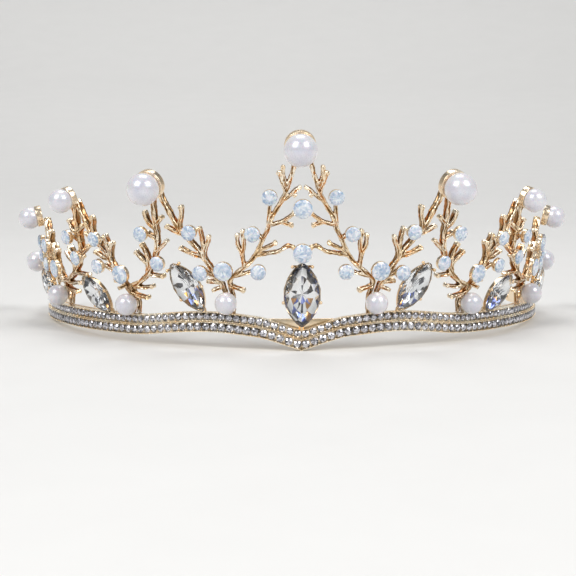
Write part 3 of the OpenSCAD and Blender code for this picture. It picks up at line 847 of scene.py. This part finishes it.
def opal_glass(name):
    """Opal glass: a pale blue body with milky clouds a millimetre or so across, and a
    painted reflection that makes some facets paler.
    """
    material, tree, place = bare_material(name)
    cloud = noise(tree, place, 1.6 * MM, Detail=3.0, Distortion=0.8)
    milk = add(tree, "Math", {"operation": "MULTIPLY", 1: 0.6},
               [(0, mapped(tree, cloud, 0.38, 0.66))]).outputs[0]
    # Painted reflection: each facet's stored value is added to the milk to make it paler.
    mixed = add(tree, "Math", {"operation": "MULTIPLY_ADD", 1: 0.6},
                [(0, stored(tree, "painted_reflection")), (2, milk)]).outputs[0]
    colour = blend(tree, mixed, "#9CB6D4", "#F8FBFF")
    shaded(tree, {"IOR": 1.52, "Subsurface Weight": 0.12, "Subsurface Scale": 0.7 * MM,
                  "Transmission Weight": 0.12, "Coat Weight": 0.5, "Coat Roughness": 0.03},
           [("Base Color", colour), ("Roughness", mapped(tree, cloud, 0, 1, 0.05, 0.16))])
    return material


opal_milk = opal_glass("milky_opal_glass")
opal_turn = 47.0             # from one opal to the next, so that no two look the same
for size, d in opal_d.items():
    r, rim = d / 2, cup_h + set_gap
    foot = r - cup_in - cup_t - set_gap
    stone = cut_stone([(foot, cup_floor + set_gap, 0), (foot, rim, 0), (0.96 * r, rim, 0),
                       (r, rim + 0.12 * MM, 0), (r, rim + 0.26 * MM, 0),
                       (0.80 * r, rim + 0.62 * MM, 1), (0.44 * r, rim + 0.88 * MM, 0)], 12)
    made = []
    for number, (base, (across, up, out)) in enumerate(opal_spots[size]):
        made.append(turned(stone, base, *spun(across, up, opal_turn * number), out))
    piece = show(f"{size}_opals_cut", together(made), opal_milk, [f"{size}_opals"],
                 crease=5)
    # Each opal facet gets a painted reflection, from blue to pale.
    paint_facet_reflections(piece, stone_chance, (0.3, 0.4, 0.3), (0.05, 0.45, 0.95))

# ---- Marquise crystals ---------------------------------------------------------------
# Clear cut glass in the marquise shape: a long table, rings of crown facets, a thin
# girdle, and pavilion facets that meet at the back. Some back facets are silvered.


def cut_marquise(length, width, high, low, girdle):
    """Facets between rings that follow a marquise outline with blunt tips: its half width
    is the cosine of the turn to the power 1.6, its half length the sine. Each ring is a
    share of the outline, at a height, and some are turned half a step."""
    count = 16
    rings = [(0.44, high, 0), (0.70, high * 0.82, 1), (0.90, high * 0.5, 0),
             (1.0, girdle, 1), (1.0, 0.0, 1), (0.82, low * 0.3, 0), (0.56, low * 0.62, 1),
             (0.30, low * 0.88, 0), (0.04, low, 1)]
    made = []
    for share, z, half in rings:
        t = (np.arange(count) + half / 2) * 2 * math.pi / count
        x = width / 2 * np.sign(np.cos(t)) * np.abs(np.cos(t)) ** 1.6
        made.append(np.stack([share * x, share * length / 2 * np.sin(t), z + 0 * t], -1))
    faces = cut_stone([(1, 0, half) for _, _, half in rings], count)[1]
    return np.concatenate(made), faces


def clear_glass(name):
    """Clear lead glass: high index, no colour but a trace of blue in the clouds."""
    material, tree, place = bare_material(name)
    cloud = noise(tree, place, 3 * MM, Detail=1.0)
    colour = blend(tree, cloud, "#FFFFFF", "#EEF2F6")
    shaded(tree, {"IOR": 1.6, "Transmission Weight": 1.0},
           [("Base Color", colour), ("Roughness", mapped(tree, cloud, 0, 1, 0.0, 0.015))])
    return material


def silver_foil(name):
    """Silver on some of the back facets. Each has a reflection painted into its colour, from
    dark to light, and a few in the lower half have amber and blue flashes of light painted
    on, for the flashes of a cut stone."""
    material, tree, place = bare_material(name)
    patch = noise(tree, place, 0.9 * MM, Detail=2.0)
    light = blend(tree, patch, "#FFFFFF", "#D4DAE2")
    # Painted reflection, then painted amber and blue flashes of light.
    colour = blend(tree, stored(tree, "painted_reflection"), "#30323A", light)
    painted_flash = stored(tree, "painted_flash")
    colour = blend(tree, mapped(tree, painted_flash, 0, 1), colour, "#F6B04A")
    colour = blend(tree, mapped(tree, painted_flash, 0, -1), colour, "#7C93F0")
    shaded(tree, {"Metallic": 0.6},
           [("Base Color", colour), ("Roughness", mapped(tree, patch, 0, 1, 0.02, 0.1))])
    return material


def stance(corners, middle):
    """Across, up and outward axes of a crystal, and how far it reaches along them: the
    main directions of its corners, which its two planes of symmetry make exact."""
    across, up = np.linalg.eigh(np.cov((corners - middle).T))[1][:, 1:].T
    up = up * np.sign(up[2])
    out = np.cross(across, up)
    if out @ (middle * [1, 1, 0]) < 0:
        across, out = -across, -out
    spread = (corners - middle) @ np.stack([across, up, out]).T
    return (across, up, out), spread.min(0), spread.max(0)


def back_faces(piece, point, up, out, material, chance):
    """Gives every face a painted reflection, and some of the lower ones a painted flash of
    colour. Of the faces that lie behind the girdle, the darker ones and those with a flash
    get the material."""
    paint_facet_reflections(piece, chance, (0.22, 0.20, 0.58), (0.10, 0.55, 0.97))
    mesh = piece.data
    mesh.materials.append(material)
    centres = np.empty(len(mesh.polygons) * 3, np.float32)
    mesh.polygons.foreach_get("center", centres)
    centres = centres.reshape(-1, 3) - point
    drawn = chance.choice((0.0, 0.8, -0.8), len(centres), p=(0.7, 0.15, 0.15))
    drawn = drawn * (centres @ up < -1.2 * MM)
    painted_flash = mesh.attributes.new("painted_flash", "FLOAT", "FACE")
    painted_flash.data.foreach_set("value", drawn.astype(np.float32))
    painted_reflection = np.empty(len(centres), np.float32)
    mesh.attributes["painted_reflection"].data.foreach_get("value", painted_reflection)
    coated = (centres @ out < -0.05 * MM) & ((painted_reflection < 0.7) | (drawn != 0))
    mesh.polygons.foreach_set("material_index", coated.astype(np.int32))


lead_glass, foil = clear_glass("clear_lead_glass"), silver_foil("silver_foil")
girdle_t, crown_share = 0.4 * MM, 1.3 / 3.6
crystal_places = {}
for node in ["front_crystal"] + [f"arch{a}_crystal_{s}" for a in (1, 2, 3) for s in SIDES]:
    corners = np.unique(np.round(solids_of(node)[0] / 1e-6) * 1e-6, axis=0)
    directions, low, high = stance(corners, corners.mean(0))
    middle = corners.mean(0) + ((low + high) / 2) @ np.stack(directions)
    size = high - low
    girdle = middle + directions[2] * (size[2] / 2 - crown_share * size[2] - girdle_t)
    shape = cut_marquise(size[1], size[0], crown_share * size[2] + girdle_t,
                         -(size[2] * (1 - crown_share) - girdle_t), girdle_t)
    piece = show(f"{node}_cut", turned(shape, girdle, *directions), lead_glass,
                 [node], crease=5)
    back_faces(piece, girdle, directions[1], directions[2], foil, stone_chance)
    crystal_places[node] = (girdle, directions, size)

# ---- Crystal settings ----------------------------------------------------------------
# Open-backed cast settings: a low gallery wall under the edge of the stone, four wire
# claws with ball ends, two splayed beside the upper tip, and a post down to the band.

gallery_t, gallery_h = 0.45 * MM, 1.1 * MM
gallery_in, gallery_sink = 0.45 * MM, 0.75 * MM     # in from the outline, below the girdle
claw_r, post_wire_r = 0.3 * MM, 0.55 * MM
claw_ball = 1.55 * claw_r
CLAWS = ((0.86, 1.1 * MM), (-0.24, 0.12 * MM))      # share of the half length, and splay


def gallery(length, width):
    """A rounded bar carried round the marquise outline, drawn in under the stone."""
    bow = (length ** 2 + width ** 2) / (4 * width)
    reach = math.asin(length / 2 / bow)
    a = np.linspace(-reach, reach, 41)[:-1]
    half = np.stack([bow * np.cos(a) - (bow - width / 2), bow * np.sin(a)], -1)
    path = np.concatenate([half, -half])
    path = np.concatenate([path, np.zeros((len(path), 1))], -1)
    normal = unit(np.cross(np.roll(path, -1, 0) - np.roll(path, 1, 0), UP))
    bar = rounded_bar(gallery_t, gallery_h, 0.15 * MM)
    points = (path[:, None] + normal[:, None] * (bar[:, 0] - gallery_in)[None, :, None]
              + UP * (bar[:, 1] - gallery_sink)[None, :, None])
    return np.concatenate([points, points[:1]]).reshape(-1, 3), grid_faces(
        len(path) + 1, len(bar))


def wire(points, radius, ball):
    """A round wire along points, its outer end swelling into a ball."""
    path, run = smooth_route(np.array(points, float), 0.12 * MM)
    along = unit(np.gradient(path, axis=0))
    side = unit(np.cross(along, [0.3, 0.2, 0.9]))
    other = np.cross(along, side)
    left = run[-1] - run
    size = np.maximum(radius, np.sqrt(np.clip(ball ** 2 - (left - ball) ** 2, 0, None)))
    size = np.where(left < ball, np.sqrt(np.clip(ball ** 2 - (left - ball) ** 2, 1e-14, None)),
                    size)
    turn = np.linspace(0, 2 * math.pi, 14, endpoint=False)[None, :, None]
    return tube(path[:, None] + size[:, None, None]
                * (side[:, None] * np.cos(turn) + other[:, None] * np.sin(turn)))


def setting(place):
    """Gallery, claws and post of one crystal, set down where the crystal stands."""
    girdle, (across, up, out), (width, length, _) = place
    solids = [gallery(length, width)]
    bow = (length ** 2 + width ** 2) / (4 * width)
    for sy, splay in CLAWS:
        y = sy * length / 2
        x = math.sqrt(bow ** 2 - y ** 2) - (bow - width / 2)
        for sx in (-1, 1):
            foot = [sx * (x - 0.5 * MM), 0.97 * y, -1.0 * MM]
            knee = [sx * (x + 0.6 * splay), y, -0.4 * MM]
            tip = [sx * (x + splay), y, 0.6 * MM]
            solids.append(wire([foot, knee, tip], claw_r, claw_ball))
    made = [turned(solid, girdle, across, up, out) for solid in solids]
    tip = girdle - up * (length / 2 - 0.4 * MM) - out * 1.2 * MM
    az = azimuth(tip)
    band_top = band_z(az) + band_h
    face = around(az, band_top, math.hypot(tip[0], tip[1]))
    low, high = face + [0, 0, -0.1 * MM], tip + up * 0.5 * MM
    made.append(wire([low, (low + high) / 2, high], post_wire_r, post_wire_r))
    return together(made)


cast_setting = gold("cast_setting_plate", "#FDE6C4", "#EBC695", (0.12, 0.26),
                    0.35 * MM, 0.02 * MM)
groups = {"front_crystal_setting": ["front_crystal"]}
for arch in (1, 2, 3):
    groups[f"arch{arch}_crystal_settings"] = [f"arch{arch}_crystal_{s}" for s in SIDES]
for node, crystals in groups.items():
    show(f"{node}_cast", together([setting(crystal_places[c]) for c in crystals]),
         cast_setting, [node])

# ---- End loops -----------------------------------------------------------------------
# At each end of the strip, a flat tab with a round hole for a hairpin or a ribbon,
# stamped from the same strip and plated with it.

for side in SIDES:
    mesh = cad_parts[f"end_loop_{side}"].data
    mesh.materials.clear()
    mesh.materials.append(rolled_gold)

# ---- Floor, light and camera ---------------------------------------------------------
# A pale table top that turns up into a wall all round, two soft boxes in front, one above
# and one turned to the wall. The table lies against the band's point and its two ends.

rest_point = np.array([0, -row_out["lower"], -point_drop])
rest_end = around(band_end, 0.0, ring_r)
slope = (rest_end[2] - rest_point[2]) / (rest_end[1] - rest_point[1])
reach = np.array([0.0, 0.5, 1.0, 1.4, 1.8, 2.1, 2.3, 2.4, 2.42])
rise = np.array([0.0, 0.0, 0.0, 0.05, 0.2, 0.45, 0.8, 1.3, 2.0])
turn = np.linspace(0, 2 * math.pi, 64, endpoint=False)
bowl = np.stack([reach[:, None] * np.cos(turn), reach[:, None] * np.sin(turn),
                 rise[:, None] + 0 * turn], -1)
bowl[..., 2] += rest_point[2] - 0.02 * MM + slope * (bowl[..., 1] - rest_point[1])
table_mesh = bpy.data.meshes.new("table_top")
table_mesh.from_pydata(bowl.reshape(-1, 3).tolist(), [],
                       grid_faces(len(reach), len(turn)).tolist())
table_mesh.shade_smooth()
table = bpy.data.objects.new("table_top", table_mesh)
bpy.context.scene.collection.objects.link(table)
paper, tree, place = bare_material("matt_pale_paper")
fibre = noise(tree, place, 25 * MM, Detail=3.0)
shaded(tree, {"Roughness": 0.9}, [("Base Color", blend(tree, fibre, "#E4E3E1", "#E8E7E5"))])
table_mesh.materials.append(paper)
table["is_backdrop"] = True


def soft_box(name, place, aim, size, power):
    light = bpy.data.lights.new(name, "AREA")
    light.shape, light.size, light.energy = "SQUARE", size, power
    lamp = bpy.data.objects.new(name, light)
    bpy.context.scene.collection.objects.link(lamp)
    lamp.location = place
    way = Vector(aim) - Vector(place)
    lamp.rotation_euler = way.to_track_quat("-Z", "Y").to_euler()


aim = (0.0, -0.04, 0.03)
soft_box("soft_box_left", (-0.70, -0.72, 0.86), aim, 0.72, 9.2)
soft_box("soft_box_right", (0.70, -0.72, 0.86), aim, 0.72, 9.2)
soft_box("soft_box_top", (0.0, 0.35, 1.1), aim, 0.6, 3.5)
soft_box("soft_box_wall", (0.0, 0.9, 1.3), (0.0, 2.4, 0.6), 0.9, 10.0)

sky = bpy.data.worlds.new("studio")
bpy.context.scene.world = sky
sky.use_nodes = True
sky.node_tree.nodes["Background"].inputs[0].default_value = linear("#DDE2E8")
sky.node_tree.nodes["Background"].inputs[1].default_value = 0.2
bpy.context.scene.view_settings.view_transform = "Standard"

lens = bpy.data.cameras.new("camera")
lens.lens, lens.sensor_width = 106.75, 36.0
camera = bpy.data.objects.new("camera", lens)
bpy.context.scene.collection.objects.link(camera)
camera.location = (-0.0185, -0.5222, 0.0578)
camera.rotation_euler = (math.radians(90 - 5.57), 0.0, math.radians(-1.9))
bpy.context.scene.camera = camera

# ---- Size ----------------------------------------------------------------------------
# The box round the shown model, leaving out the table.

low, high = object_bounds()
